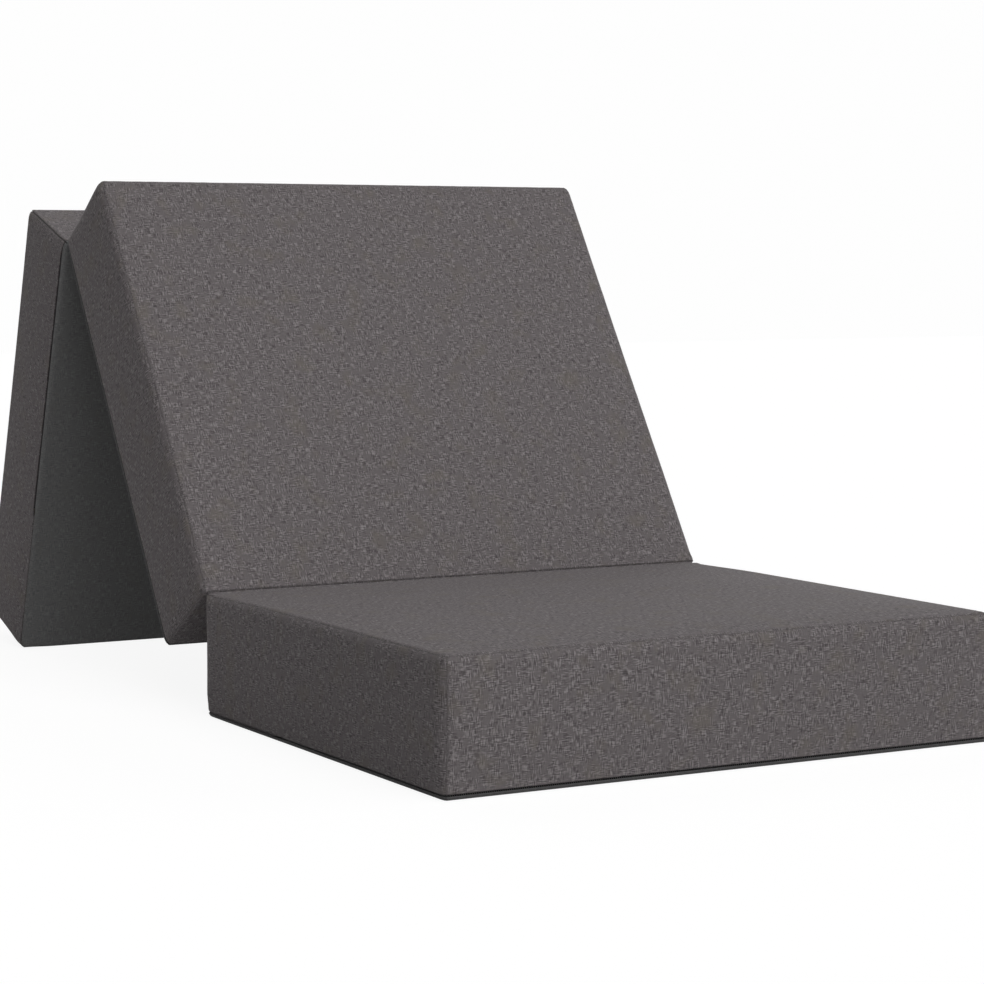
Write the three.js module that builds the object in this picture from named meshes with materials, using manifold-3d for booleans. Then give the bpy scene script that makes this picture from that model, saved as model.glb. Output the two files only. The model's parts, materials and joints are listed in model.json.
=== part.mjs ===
// Convertible chair bed: three equal foam blocks in zipped fabric covers, joined by two fabric hinges.
// It stands as a chair: the seat lies flat, the backrest leans back from the seat's upper rear edge,
// and the support block stands on the floor behind and holds the backrest up.
// Millimetres. +X is to the right, the seat's front faces -Y, +Z is up, and the floor is at zero.
import * as THREE from 'three';
import { mergeVertices } from 'three/addons/utils/BufferGeometryUtils.js';
import Module from 'manifold-3d';

// Sizes of a block and the way it stands
const blockWidth = 700;
const blockLength = 600; // from hinge line to hinge line, or to the free end
const blockThickness = 146;
const backrestRecline = THREE.MathUtils.degToRad(56.7); // between the backrest and the flat bed

// Form of a filled cover
const cornerRadius = 6; // upright corners, seen from above
const sewnEdgeWidth = 4.5; // round the sleeping face: oval, tight by the seam and slack on the band
const sewnEdgeHeight = 14;
const hingeEdgeRadius = 3; // at a hinge on the sleeping face, where the edge is held tight
const baseEdgeRadius = 3;
const crownHeight = 5; // the sleeping face's rise at its middle
const undersideCrown = 2; // the same on an underside that hangs free
const crownPower = 2.5; // how broad the crown is: higher is flatter, with a steeper edge
const drawIn = 2.5; // how far a free side pulls in between its corners

// Cloth, and the gap between pieces that touch
const clothThickness = 1.2;
const layerGap = 0.3;

// Fabric hinges
const hingeFoldThickness = 1.2; // where the strip doubles over at the hinge line
const hingeStripThickness = 0.8;
const topHingeStripHeight = 9;
const baseHingeStripHeight = 5.5;
const hingeStripEndInset = 8; // from the block's side to the strip's end

// Zip, in a slot between the base panel's turned-up edge and the side band
const baseEdgeHeight = 4.3;
const zipSlotHeight = 2.2;
const zipReturnLength = 390; // along each side that the zip runs up
const slotTaperLength = 20; // where the slot closes to a plain seam
const tapeThickness = 0.6;
const lowerTapeHeight = 1.7;
const upperTapeHeight = 6;
const chainWidth = 4;
const chainThickness = 1.8;
const stopLength = 3;
const stopMargin = 4; // from the end stop to where the slot starts to close

// Slider and pull
const sliderLength = 9;
const sliderWall = 0.9;
const sliderNeckLength = 3.4;
const sliderNeckThickness = 1.6;
const sliderNoseSetback = 0.7; // from the slider's end to its neck
const crownPlateWidth = 4.8;
const crownPlateThickness = 0.9;
const bailWidth = 1.6;
const bailThickness = 0.8;
const bailInnerLength = 3;
const pullLength = 24;
const pullThickness = 1;
const pullHeadWidth = 5;
const pullTipWidth = 6.6;
const pullWindowLength = 3.7;
const pullWindowWidth = 2.7;
const pullHoleRadius = 1.3;

// How finely the forms are drawn
const cornerSteps = 3;
const arcSegments = 6;
const foldSides = 10;
const seamAngle = Math.PI / 3; // where the panel's seam runs on the rounded edge
const topRingShares = [0.9, 0.68, 0.4];
const baseRingShares = [0.8, 0.45];
const endMarkShares = [-0.5, 0, 0.5];
const zipMarkShares = [1 / 3, 2 / 3];
const bandWaistShare = 0.4;
const cornerArcShare = 0.8; // of the corner's radius: the depth to which an upright corner stays round
const fullDrawShare = 0.5; // the height, as a share of the thickness, above which a side draws in fully
const chainSectionShares = [
  [0.25, 0],
  [0, 0.45],
  [0.25, 1],
  [0.75, 1],
  [1, 0.5],
  [1, -0.5],
  [0.75, -1],
  [0.25, -1],
  [0, -0.45],
];

// Sizes that follow from those above
const quarterTurn = Math.PI / 2;
const eighthTurn = Math.PI / 4;
const halfWidth = blockWidth / 2;
const hingeClearance = hingeFoldThickness / 2 + layerGap; // from a hinge line to the strips beside it
const stripEdgeSetback = layerGap / 2; // from the block's upper or lower face to the strip's edge
const hingeSetback = hingeClearance + hingeStripThickness + layerGap;
const slotTop = baseEdgeHeight + zipSlotHeight;
const slotMiddle = baseEdgeHeight + zipSlotHeight / 2;
const tapeFront = clothThickness + layerGap; // depths below the cover's outer face
const tapeBack = tapeFront + tapeThickness;
const chainFront = tapeBack + layerGap;
const chainBack = chainFront + chainThickness;
const channelFloor = chainBack + layerGap;
const sliderBack = channelFloor + sliderWall;
const sliderHalfWidth = chainWidth / 2 + layerGap + sliderWall;
const foamDepth = clothThickness + layerGap;
const foamBevelHeight = 2 * (slotMiddle + sliderHalfWidth);
const foamBevelWidth = 2 * (sliderBack + layerGap - foamDepth);
const sliderPark = zipReturnLength - stopMargin - stopLength - layerGap - sliderLength / 2;
const neckStart = sliderLength / 2 - sliderNoseSetback - sliderNeckLength;
const barReach = Math.SQRT1_2 * pullThickness; // the crossbar's corners from its own axis
const crownPlateTop = layerGap + crownPlateThickness; // heights above the cover's outer face
const bailInnerHeight = 2 * (barReach + layerGap);
const pullAxisHeight = crownPlateTop + bailInnerHeight / 2;
const bailOuterLength = bailInnerLength + 2 * bailThickness;
const hingeStripLength = blockWidth - 2 * hingeStripEndInset;

const fabric = (color) => new THREE.MeshStandardMaterial({ color, roughness: 0.95, metalness: 0 });
const materials = {
  cover: fabric('#66615f'),
  base: fabric('#55514f'),
  hinge: fabric('#4b4746'),
  foam: fabric('#e6ddc3'),
  tape: fabric('#2e2c2d'),
  chain: new THREE.MeshStandardMaterial({ color: '#242324', roughness: 0.5, metalness: 0 }),
  slider: new THREE.MeshStandardMaterial({ color: '#3b3a3c', roughness: 0.35, metalness: 0.9 }),
};

const sewnEdge = { edgeWidth: sewnEdgeWidth, edgeHeight: sewnEdgeHeight };
const hingeEdge = { edgeWidth: hingeEdgeRadius, edgeHeight: hingeEdgeRadius };

// Each block is drawn lying flat as part of the bed, with its lower end at y = 0 and the zip there.
const blocks = {
  seat: { highHinge: 'top', zipOnLeft: true, restsOnBase: true, pullSide: -1 },
  backrest: { lowHinge: 'top', highHinge: 'base', zipOnLeft: false, pullSide: -1 },
  support: { lowHinge: 'base', zipOnLeft: true, pullSide: 1 },
};
for (const [name, block] of Object.entries(blocks)) {
  block.name = name;
  block.low = block.lowHinge ? hingeSetback : 0;
  block.high = blockLength - (block.highHinge ? hingeSetback : 0);
  block.middle = (block.low + block.high) / 2;
}

const wasm = await Module();
wasm.setup();

// A geometry's solid, for cutting and joining.
function solidOf(geometry) {
  const bare = geometry.clone();
  bare.deleteAttribute('normal');
  bare.deleteAttribute('uv');
  const merged = mergeVertices(bare);
  const vertProperties = new Float32Array(merged.attributes.position.array);
  const triVerts = new Uint32Array(merged.index.array);
  return new wasm.Manifold(new wasm.Mesh({ numProp: 3, vertProperties, triVerts }));
}

function geometryOf(solid) {
  const { vertProperties, triVerts, numProp } = solid.getMesh();
  const geometry = new THREE.BufferGeometry();
  const buffer = new THREE.InterleavedBuffer(vertProperties, numProp);
  geometry.setAttribute('position', new THREE.InterleavedBufferAttribute(buffer, 3, 0));
  geometry.setIndex(new THREE.BufferAttribute(triVerts, 1));
  return flatShaded(geometry);
}

function flatShaded(geometry) {
  const flat = geometry.index ? geometry.toNonIndexed() : geometry;
  flat.computeVertexNormals();
  return flat;
}

// A closed body through rings with the same number of points. The rings join round into a hoop,
// or else the first and the last are closed by a fan to their middles.
function loft(rings, hoop = false) {
  const count = rings[0].length;
  const points = rings.flat();
  const faces = [];
  for (let r = 0; r < rings.length - (hoop ? 0 : 1); r++) {
    const here = r * count;
    const next = ((r + 1) % rings.length) * count;
    for (let i = 0; i < count; i++) {
      const j = (i + 1) % count;
      faces.push(...quad(points, [here + i, here + j, next + j, next + i]));
    }
  }
  if (!hoop) {
    const lastRing = points.length - count;
    const first = points.push(middleOf(rings[0])) - 1;
    const last = points.push(middleOf(rings.at(-1))) - 1;
    for (let i = 0; i < count; i++) {
      const j = (i + 1) % count;
      faces.push([first, j, i], [last, lastRing + i, lastRing + j]);
    }
  }
  const outward = enclosedVolume(points, faces) > 0;
  const order = outward ? faces.flat() : faces.map(([a, b, c]) => [a, c, b]).flat();
  const geometry = new THREE.BufferGeometry().setFromPoints(points);
  geometry.setIndex(order);
  return flatShaded(geometry);
}

// Two triangles split along the shorter diagonal, so that surfaces which lie on each other split alike.
function quad(points, [a, b, c, d]) {
  const fromA = points[a].distanceToSquared(points[c]);
  const fromB = points[b].distanceToSquared(points[d]);
  return fromA <= fromB ? [[a, b, c], [a, c, d]] : [[a, b, d], [b, c, d]];
}

function middleOf(ring) {
  const sum = ring.reduce((total, point) => total.add(point), new THREE.Vector3());
  return sum.divideScalar(ring.length);
}

function enclosedVolume(points, faces) {
  return faces.reduce((sum, [a, b, c]) => sum + points[a].dot(points[b].clone().cross(points[c])), 0) / 6;
}

// A station is a place on a block's outline, seen from above: where it is, which way is out, how much of
// the draw-in it takes, the size of its upper edge, and whether the zip's slot is open there. At an
// upright corner it also has the diagonal that leads on inward from the end of the corner's arc.
function sideStation(block, side, y, slotOpen = false) {
  const straight = (block.high - block.low) / 2 - cornerRadius;
  const pull = 1 - Math.min(1, Math.abs(y - block.middle) / straight) ** 2;
  return { x: side * halfWidth, y, nx: side, ny: 0, pull, ...sewnEdge, slotOpen };
}

function endStation(block, end, x, slotOpen = false) {
  const atLow = end < 0;
  const hinge = atLow ? block.lowHinge : block.highHinge;
  const straight = halfWidth - cornerRadius;
  const pull = hinge ? 0 : 1 - Math.min(1, Math.abs(x) / straight) ** 2;
  const y = atLow ? block.low : block.high;
  return { x, y, nx: 0, ny: end, pull, ...endEdge(hinge), slotOpen };
}

function endEdge(hinge) {
  return hinge === 'top' ? hingeEdge : sewnEdge;
}

// Stations round one upright corner, counter-clockwise from above.
function cornerStations(block, side, end, slotOpen = false) {
  const hinge = end < 0 ? block.lowHinge : block.highHinge;
  const centreX = side * (halfWidth - cornerRadius);
  const centreY = end < 0 ? block.low + cornerRadius : block.high - cornerRadius;
  const startsOnEnd = side * end < 0;
  const start = startsOnEnd ? Math.atan2(end, 0) : Math.atan2(0, side);
  return Array.from({ length: cornerSteps + 1 }, (_, step) => {
    const share = step / cornerSteps;
    const angle = start + share * quarterTurn;
    const endShare = startsOnEnd ? 1 - share : share;
    const nx = Math.cos(angle);
    const ny = Math.sin(angle);
    const edgeWidth = THREE.MathUtils.lerp(sewnEdge.edgeWidth, endEdge(hinge).edgeWidth, endShare);
    const edgeHeight = THREE.MathUtils.lerp(sewnEdge.edgeHeight, endEdge(hinge).edgeHeight, endShare);
    const x = centreX + cornerRadius * nx;
    const y = centreY + cornerRadius * ny;
    return { x, y, nx, ny, diagonal: { x: side, y: end }, pull: 0, edgeWidth, edgeHeight, slotOpen };
  });
}

// All stations of a block, counter-clockwise from the right side's lower end.
function outlineStations(block) {
  const slotShut = zipReturnLength + slotTaperLength;
  const marks = [
    ...zipMarkShares.map((share) => share * zipReturnLength),
    zipReturnLength,
    slotShut,
    (slotShut + block.high - cornerRadius) / 2,
  ];
  const isOpen = (y) => y <= zipReturnLength;
  const right = marks.map((y) => sideStation(block, 1, y, isOpen(y)));
  const left = marks.map((y) => sideStation(block, -1, y, block.zipOnLeft && isOpen(y))).reverse();
  const high = endMarkShares.map((share) => endStation(block, 1, -share * halfWidth));
  const low = endMarkShares.map((share) => endStation(block, -1, share * halfWidth, true));
  const leftCorner = cornerStations(block, -1, -1, block.zipOnLeft);
  leftCorner.at(-1).slotOpen = true;
  return [
    ...cornerStations(block, 1, -1, true),
    ...right,
    ...cornerStations(block, 1, 1),
    ...high,
    ...cornerStations(block, -1, 1),
    ...left,
    ...leftCorner,
    ...low,
  ];
}

// The point at a station, a depth below the cover's outer face and a height above the base.
function pointAt(station, depth, height) {
  const draw = THREE.MathUtils.smoothstep(height, foamBevelHeight, fullDrawShare * blockThickness);
  const inward = depth + station.pull * drawIn * draw;
  const { x, y, nx, ny, diagonal } = station;
  const arcDepth = diagonal ? Math.min(inward, cornerArcShare * cornerRadius) : inward;
  const point = new THREE.Vector3(x - nx * arcDepth, y - ny * arcDepth, height);
  if (diagonal) {
    point.x -= diagonal.x * (inward - arcDepth);
    point.y -= diagonal.y * (inward - arcDepth);
  }
  return point;
}

// From 1 at the block's middle to 0 at its outline.
function crownShare(block, { x, y }) {
  const across = Math.min(1, Math.abs(x) / halfWidth);
  const along = Math.min(1, Math.abs(y - block.middle) / (block.high - block.middle));
  return (1 - across ** crownPower) * (1 - along ** crownPower);
}

// Rings of a block's surface, a depth below the cover's outer face. The upper edge rolls from upright at
// angle 0 to level at a quarter turn.
function upperEdgeRing(block, depth, angleAt) {
  return block.stations.map((station) => {
    const angle = angleAt(station);
    const { edgeWidth, edgeHeight } = station;
    const inset = edgeWidth - (edgeWidth - depth) * Math.cos(angle);
    const rise = (edgeHeight - depth) * Math.sin(angle);
    const point = pointAt(station, inset, blockThickness - edgeHeight + rise);
    point.z += crownHeight * crownShare(block, point) * Math.sin(angle);
    return point;
  });
}

function baseEdgeRing(block, depth, angle) {
  const radius = baseEdgeRadius;
  const inset = radius - (radius - depth) * Math.cos(angle);
  const height = radius - (radius - depth) * Math.sin(angle);
  return block.stations.map((station) => pointAt(station, inset, height));
}

function wallRing(block, depth, heightAt) {
  return block.stations.map((station) => pointAt(station, depth, heightAt(station)));
}

// The ring shrunk towards the block's middle, on the crowned sleeping face or underside.
function topRing(block, depth, edge, share) {
  return edge.map(({ x, y }) => {
    const point = new THREE.Vector3(share * x, block.middle + share * (y - block.middle), 0);
    point.z = blockThickness - depth + crownHeight * crownShare(block, point);
    return point;
  });
}

function baseRing(block, depth, edge, share) {
  const crown = block.restsOnBase ? 0 : undersideCrown;
  return edge.map(({ x, y }) => {
    const point = new THREE.Vector3(share * x, block.middle + share * (y - block.middle), 0);
    point.z = depth - crown * crownShare(block, point);
    return point;
  });
}

// Half of the seam's gap, as an angle on the rounded edge.
function seamGapAngle({ edgeWidth, edgeHeight }) {
  return layerGap / 2 / Math.hypot(edgeWidth * Math.sin(seamAngle), edgeHeight * Math.cos(seamAngle));
}

// Panel of the sleeping face: a crowned sheet whose edge turns down to the seam.
function topPanel(block) {
  const face = (depth) => {
    const edge = upperEdgeRing(block, depth, () => quarterTurn);
    return [edge, ...topRingShares.map((share) => topRing(block, depth, edge, share))];
  };
  const seam = (depth) => upperEdgeRing(block, depth, (station) => seamAngle + seamGapAngle(station));
  const roll = upperEdgeRing(block, 0, () => (seamAngle + quarterTurn) / 2);
  return loft([...face(clothThickness).reverse(), seam(clothThickness), seam(0), roll, ...face(0)]);
}

// Band round the four sides, from the zip's slot or the plain seam up to the panel's seam.
function sideBand(block) {
  const lowerEdge = (station) => (station.slotOpen ? slotTop : baseEdgeHeight + layerGap);
  const wall = (depth) => [
    wallRing(block, depth, lowerEdge),
    wallRing(block, depth, () => foamBevelHeight),
    wallRing(block, depth, () => bandWaistShare * blockThickness),
    upperEdgeRing(block, depth, () => 0),
  ];
  const seam = (depth) => upperEdgeRing(block, depth, (station) => seamAngle - seamGapAngle(station));
  const roll = upperEdgeRing(block, 0, () => seamAngle / 2);
  return loft([...wall(0), roll, seam(0), seam(clothThickness), ...wall(clothThickness).reverse()], true);
}

// Panel of the underside: a shallow tray whose turned-up edge carries the zip's lower tape.
function basePanel(block) {
  const floor = (depth) => {
    const edge = baseEdgeRing(block, depth, quarterTurn);
    return [edge, ...baseRingShares.map((share) => baseRing(block, depth, edge, share))];
  };
  const wall = (depth) => [baseEdgeRing(block, depth, 0), wallRing(block, depth, () => baseEdgeHeight)];
  const roll = (depth) => baseEdgeRing(block, depth, eighthTurn);
  return loft([
    ...floor(0).reverse(),
    roll(0),
    ...wall(0),
    ...wall(clothThickness).reverse(),
    roll(clothThickness),
    ...floor(clothThickness),
  ]);
}

// Foam block inside the cover. Its lower edges are bevelled, which leaves room for the zip.
function foamCore(block) {
  const underside = baseEdgeRing(block, foamDepth, quarterTurn);
  const rim = upperEdgeRing(block, foamDepth, () => quarterTurn);
  return loft([
    ...baseRingShares.map((share) => baseRing(block, foamDepth, underside, share)).reverse(),
    wallRing(block, foamDepth + foamBevelWidth, () => foamDepth),
    wallRing(block, foamDepth, () => foamBevelHeight),
    wallRing(block, foamDepth, () => bandWaistShare * blockThickness),
    upperEdgeRing(block, foamDepth, () => 0),
    upperEdgeRing(block, foamDepth, () => seamAngle),
    rim,
    ...topRingShares.map((share) => topRing(block, foamDepth, rim, share)),
  ]);
}

// The zip's way round the lower end and up the sides, as far as the two reaches.
function zipRoute(block, leftReach, rightReach) {
  const left = block.zipOnLeft
    ? [sideStation(block, -1, leftReach), ...cornerStations(block, -1, -1)]
    : [endStation(block, -1, cornerRadius - halfWidth + leftReach)];
  return [...left, ...cornerStations(block, 1, -1), sideStation(block, 1, rightReach)];
}

// A section of depths below the cover's face and heights above the base, swept along a route.
function sweep(route, section) {
  return loft(
    route.map(({ x, y, nx, ny }) =>
      section.map(([depth, height]) => new THREE.Vector3(x - nx * depth, y - ny * depth, height)),
    ),
  );
}

const tapeSection = (bottom, top) => [
  [tapeFront, bottom],
  [tapeBack, bottom],
  [tapeBack, top],
  [tapeFront, top],
];

// Where the chain starts: up the left side, or just past the lower left corner where the zip is shorter.
function chainStart(block) {
  return block.zipOnLeft ? zipReturnLength - stopMargin - stopLength - layerGap : stopLength + layerGap;
}

function zipTape(block, bottom, top) {
  const leftReach = block.zipOnLeft ? zipReturnLength : 0;
  return sweep(zipRoute(block, leftReach, zipReturnLength), tapeSection(bottom, top));
}

// The closed chain, from the start stop to the slider's neck.
function zipChain(block) {
  const section = chainSectionShares.map(([depthShare, widthShare]) => [
    chainFront + depthShare * chainThickness,
    slotMiddle + (widthShare * chainWidth) / 2,
  ]);
  return sweep(zipRoute(block, chainStart(block), sliderPark + neckStart - layerGap), section);
}

// A stop across both tapes, just past the chain's start or just past the closed slider.
const stopSection = [
  [chainFront, slotMiddle - chainWidth / 2],
  [chainBack, slotMiddle - chainWidth / 2],
  [chainBack, slotMiddle + chainWidth / 2],
  [chainFront, slotMiddle + chainWidth / 2],
];

function zipStartStop(block) {
  const gapEnd = chainStart(block) + (block.zipOnLeft ? layerGap : -layerGap);
  const farEnd = gapEnd + (block.zipOnLeft ? stopLength : -stopLength);
  const cornerEnd = cornerRadius - halfWidth;
  const stationAt = (reach) =>
    block.zipOnLeft ? sideStation(block, -1, reach) : endStation(block, -1, cornerEnd + reach);
  return sweep([stationAt(farEnd), stationAt(gapEnd)], stopSection);
}

function zipEndStop(block) {
  const start = sliderPark + sliderLength / 2 + layerGap;
  return sweep([sideStation(block, 1, start), sideStation(block, 1, start + stopLength)], stopSection);
}

// A flat outline in a plane along the zip, given thickness outward from a height above the cover's face.
function plateOnCover(outline, from, thickness) {
  const geometry = new THREE.ExtrudeGeometry(outline, {
    depth: thickness,
    bevelEnabled: false,
    curveSegments: arcSegments,
  });
  const along = new THREE.Vector3(0, 1, 0);
  const across = new THREE.Vector3(0, 0, 1);
  const outward = new THREE.Vector3(1, 0, 0);
  geometry.applyMatrix4(new THREE.Matrix4().makeBasis(along, across, outward));
  return geometry.translate(from, 0, 0);
}

function roundedOutline(from, to, width, radius) {
  const half = width / 2;
  const outline = new THREE.Shape();
  outline.absarc(to - radius, half - radius, radius, 0, quarterTurn);
  outline.absarc(from + radius, half - radius, radius, quarterTurn, Math.PI);
  outline.absarc(from + radius, radius - half, radius, Math.PI, Math.PI + quarterTurn);
  outline.absarc(to - radius, radius - half, radius, -quarterTurn, 0);
  return outline;
}

// Slider of the concealed zip. A channel wraps the chain behind the cover, a neck stands between the two
// tapes, and a plate with a bail rides outside. Its origin is on the cover's face at the slot's middle.
function zipSlider() {
  const half = sliderHalfWidth;
  const inner = half - sliderWall;
  const channelOutline = new THREE.Shape([
    new THREE.Vector2(-chainFront, half),
    new THREE.Vector2(-sliderBack, half),
    new THREE.Vector2(-sliderBack, -half),
    new THREE.Vector2(-chainFront, -half),
    new THREE.Vector2(-chainFront, -inner),
    new THREE.Vector2(-channelFloor, -inner),
    new THREE.Vector2(-channelFloor, inner),
    new THREE.Vector2(-chainFront, inner),
  ]);
  const channel = new THREE.ExtrudeGeometry(channelOutline, { depth: sliderLength, bevelEnabled: false });
  channel.rotateX(quarterTurn).translate(0, sliderLength / 2, 0);

  const neckEnd = neckStart + sliderNeckLength;
  const neckHalf = sliderNeckThickness / 2;
  const neckOutline = new THREE.Shape([
    new THREE.Vector2(neckStart, 0),
    new THREE.Vector2((neckStart + neckEnd) / 2, -neckHalf),
    new THREE.Vector2(neckEnd, -neckHalf),
    new THREE.Vector2(neckEnd, neckHalf),
    new THREE.Vector2((neckStart + neckEnd) / 2, neckHalf),
  ]);
  const wallMiddle = sliderWall / 2;
  const neckFoot = channelFloor + wallMiddle;
  const neckTop = layerGap + crownPlateThickness / 2;
  const neck = plateOnCover(neckOutline, -neckFoot, neckFoot + neckTop);

  const plateHalf = sliderLength / 2;
  const plateOutline = roundedOutline(-plateHalf, plateHalf, crownPlateWidth, crownPlateWidth / 3);
  const plate = plateOnCover(plateOutline, layerGap, crownPlateThickness);

  return geometryOf(solidOf(channel).add(solidOf(neck)).add(solidOf(plate)).add(solidOf(bailArch())));
}

// The arch that the pull hangs in, standing on the slider's plate.
function bailArch() {
  const outerHalf = bailOuterLength / 2;
  const innerHalf = bailInnerLength / 2;
  const foot = crownPlateTop - crownPlateThickness / 2;
  const innerTop = crownPlateTop + bailInnerHeight;
  const outerTop = innerTop + bailThickness;
  const arch = new THREE.Shape();
  arch.moveTo(-outerHalf, foot);
  arch.lineTo(-innerHalf, foot);
  arch.lineTo(-innerHalf, innerTop - bailThickness);
  arch.quadraticCurveTo(-innerHalf, innerTop, bailThickness - innerHalf, innerTop);
  arch.lineTo(innerHalf - bailThickness, innerTop);
  arch.quadraticCurveTo(innerHalf, innerTop, innerHalf, innerTop - bailThickness);
  arch.lineTo(innerHalf, foot);
  arch.lineTo(outerHalf, foot);
  arch.lineTo(outerHalf, outerTop - 2 * bailThickness);
  arch.quadraticCurveTo(outerHalf, outerTop, outerHalf - 2 * bailThickness, outerTop);
  arch.lineTo(2 * bailThickness - outerHalf, outerTop);
  arch.quadraticCurveTo(-outerHalf, outerTop, -outerHalf, outerTop - 2 * bailThickness);
  const geometry = new THREE.ExtrudeGeometry(arch, {
    depth: bailWidth,
    bevelEnabled: false,
    curveSegments: arcSegments,
  });
  return geometry.translate(0, 0, -bailWidth / 2).rotateZ(-quarterTurn);
}

// Pull tab: a flat blade whose head is a window, so that the bar at its end lies under the bail.
// Its origin is on the bar's axis.
function zipPull() {
  const bar = pullThickness / 2;
  const windowEnd = bar + pullWindowLength;
  const shoulder = windowEnd + pullHeadWidth / 2;
  const headHalf = pullHeadWidth / 2;
  const tipHalf = pullTipWidth / 2;
  const tip = pullLength - bar;
  const outline = new THREE.Shape();
  outline.moveTo(-bar, -headHalf);
  outline.lineTo(windowEnd, -headHalf);
  outline.quadraticCurveTo(shoulder, -headHalf, (shoulder + tip) / 2, -tipHalf);
  outline.lineTo(tip - tipHalf, -tipHalf);
  outline.absarc(tip - tipHalf, 0, tipHalf, -quarterTurn, quarterTurn);
  outline.lineTo((shoulder + tip) / 2, tipHalf);
  outline.quadraticCurveTo(shoulder, headHalf, windowEnd, headHalf);
  outline.lineTo(-bar, headHalf);
  const window = new THREE.Path();
  window.moveTo(bar, -pullWindowWidth / 2);
  window.lineTo(bar, pullWindowWidth / 2);
  window.lineTo(windowEnd, pullWindowWidth / 2);
  window.lineTo(windowEnd, -pullWindowWidth / 2);
  const hole = new THREE.Path();
  hole.absarc(tip - tipHalf, 0, pullHoleRadius, 0, 2 * Math.PI, true);
  outline.holes.push(window, hole);
  return plateOnCover(outline, -bar, pullThickness);
}

// Half of a fabric hinge: a strip on the block's end, beside the hinge line at the top or the base edge.
function hingeStrip(block, end, edge) {
  const height = edge === 'top' ? topHingeStripHeight : baseHingeStripHeight;
  const from = edge === 'top' ? blockThickness - stripEdgeSetback - height : stripEdgeSetback;
  const face = end < 0 ? block.low - layerGap - hingeStripThickness : block.high + layerGap;
  const strip = roundedOutline(0, hingeStripThickness, height, hingeStripThickness / 3);
  const geometry = new THREE.ExtrudeGeometry(strip, {
    depth: hingeStripLength,
    bevelEnabled: false,
    curveSegments: arcSegments / 2,
  });
  const along = new THREE.Vector3(0, 1, 0);
  const up = new THREE.Vector3(0, 0, 1);
  const across = new THREE.Vector3(1, 0, 0);
  geometry.applyMatrix4(new THREE.Matrix4().makeBasis(along, up, across));
  return geometry.translate(-hingeStripLength / 2, face, from + height / 2);
}

// The doubled fold between the two halves, round about the hinge line.
function hingeFold() {
  const radius = hingeFoldThickness / 2;
  return new THREE.CylinderGeometry(radius, radius, hingeStripLength, foldSides).rotateZ(quarterTurn);
}

function named(name, geometry, material) {
  const mesh = new THREE.Mesh(geometry, material.clone());
  mesh.name = name;
  return mesh;
}

// One block with its cover, zip and foam, lying flat with its lower end at y = 0 and its base at z = 0.
function makeBlock(block) {
  block.stations = outlineStations(block);
  const group = new THREE.Group();
  const add = (piece, geometry, material) => {
    const mesh = named(`${block.name}_${piece}`, geometry, material);
    group.add(mesh);
    return mesh;
  };
  add('foam_core', foamCore(block), materials.foam);
  add('top_panel', topPanel(block), materials.cover);
  add('side_band', sideBand(block), materials.cover);
  add('base_panel', basePanel(block), materials.base);
  add('zip_lower_tape', zipTape(block, baseEdgeHeight - lowerTapeHeight, baseEdgeHeight), materials.tape);
  add('zip_upper_tape', zipTape(block, slotTop, slotTop + upperTapeHeight), materials.tape);
  add('zip_chain', zipChain(block), materials.chain);
  add('zip_start_stop', zipStartStop(block), materials.slider);
  add('zip_end_stop', zipEndStop(block), materials.slider);
  const slider = add('zip_slider', zipSlider(), materials.slider);
  slider.position.set(halfWidth, sliderPark, slotMiddle);
  const pull = add('zip_pull', zipPull(), materials.slider);
  pull.position.set(halfWidth + pullAxisHeight, sliderPark, slotMiddle);
  pull.rotation.z = block.pullSide < 0 ? Math.PI : 0;
  return group;
}

// The angle from upright at which the support's rounded lower edge just meets the floor.
function supportLean() {
  const hingeHeight =
    blockThickness + blockLength * Math.sin(backrestRecline) - blockThickness * Math.cos(backrestRecline);
  const along = blockLength - baseEdgeRadius;
  const reach = Math.hypot(along, baseEdgeRadius);
  return Math.acos((hingeHeight - baseEdgeRadius) / reach) - Math.atan2(baseEdgeRadius, along);
}

const seat = makeBlock(blocks.seat);
seat.position.y = -blockLength;
seat.add(named('seat_hinge_strip', hingeStrip(blocks.seat, 1, 'top'), materials.hinge));

const backrest = makeBlock(blocks.backrest);
backrest.position.z = -blockThickness;
backrest.add(
  named('backrest_lower_hinge_strip', hingeStrip(blocks.backrest, -1, 'top'), materials.hinge),
  named('backrest_upper_hinge_strip', hingeStrip(blocks.backrest, 1, 'base'), materials.hinge),
);
const seatHinge = new THREE.Group();
seatHinge.position.z = blockThickness;
seatHinge.rotation.x = backrestRecline;
seatHinge.add(backrest, named('seat_hinge_fold', hingeFold(), materials.hinge));

const support = makeBlock(blocks.support);
support.add(named('support_hinge_strip', hingeStrip(blocks.support, -1, 'base'), materials.hinge));
const supportHinge = new THREE.Group();
supportHinge.position.y = blockLength;
supportHinge.rotation.x = supportLean() - quarterTurn - backrestRecline;
supportHinge.add(support, named('support_hinge_fold', hingeFold(), materials.hinge));
backrest.add(supportHinge);

// The origin is on the floor, under the middle of the whole chair.
const chairBed = new THREE.Group();
chairBed.add(seat, seatHinge);
const extent = new THREE.Box3().setFromObject(chairBed, true);
chairBed.position.y = -(extent.min.y + extent.max.y) / 2;

export default chairBed;
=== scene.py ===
import json
import math

import bmesh
import bpy
from mathutils import Matrix, Vector, noise


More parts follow.
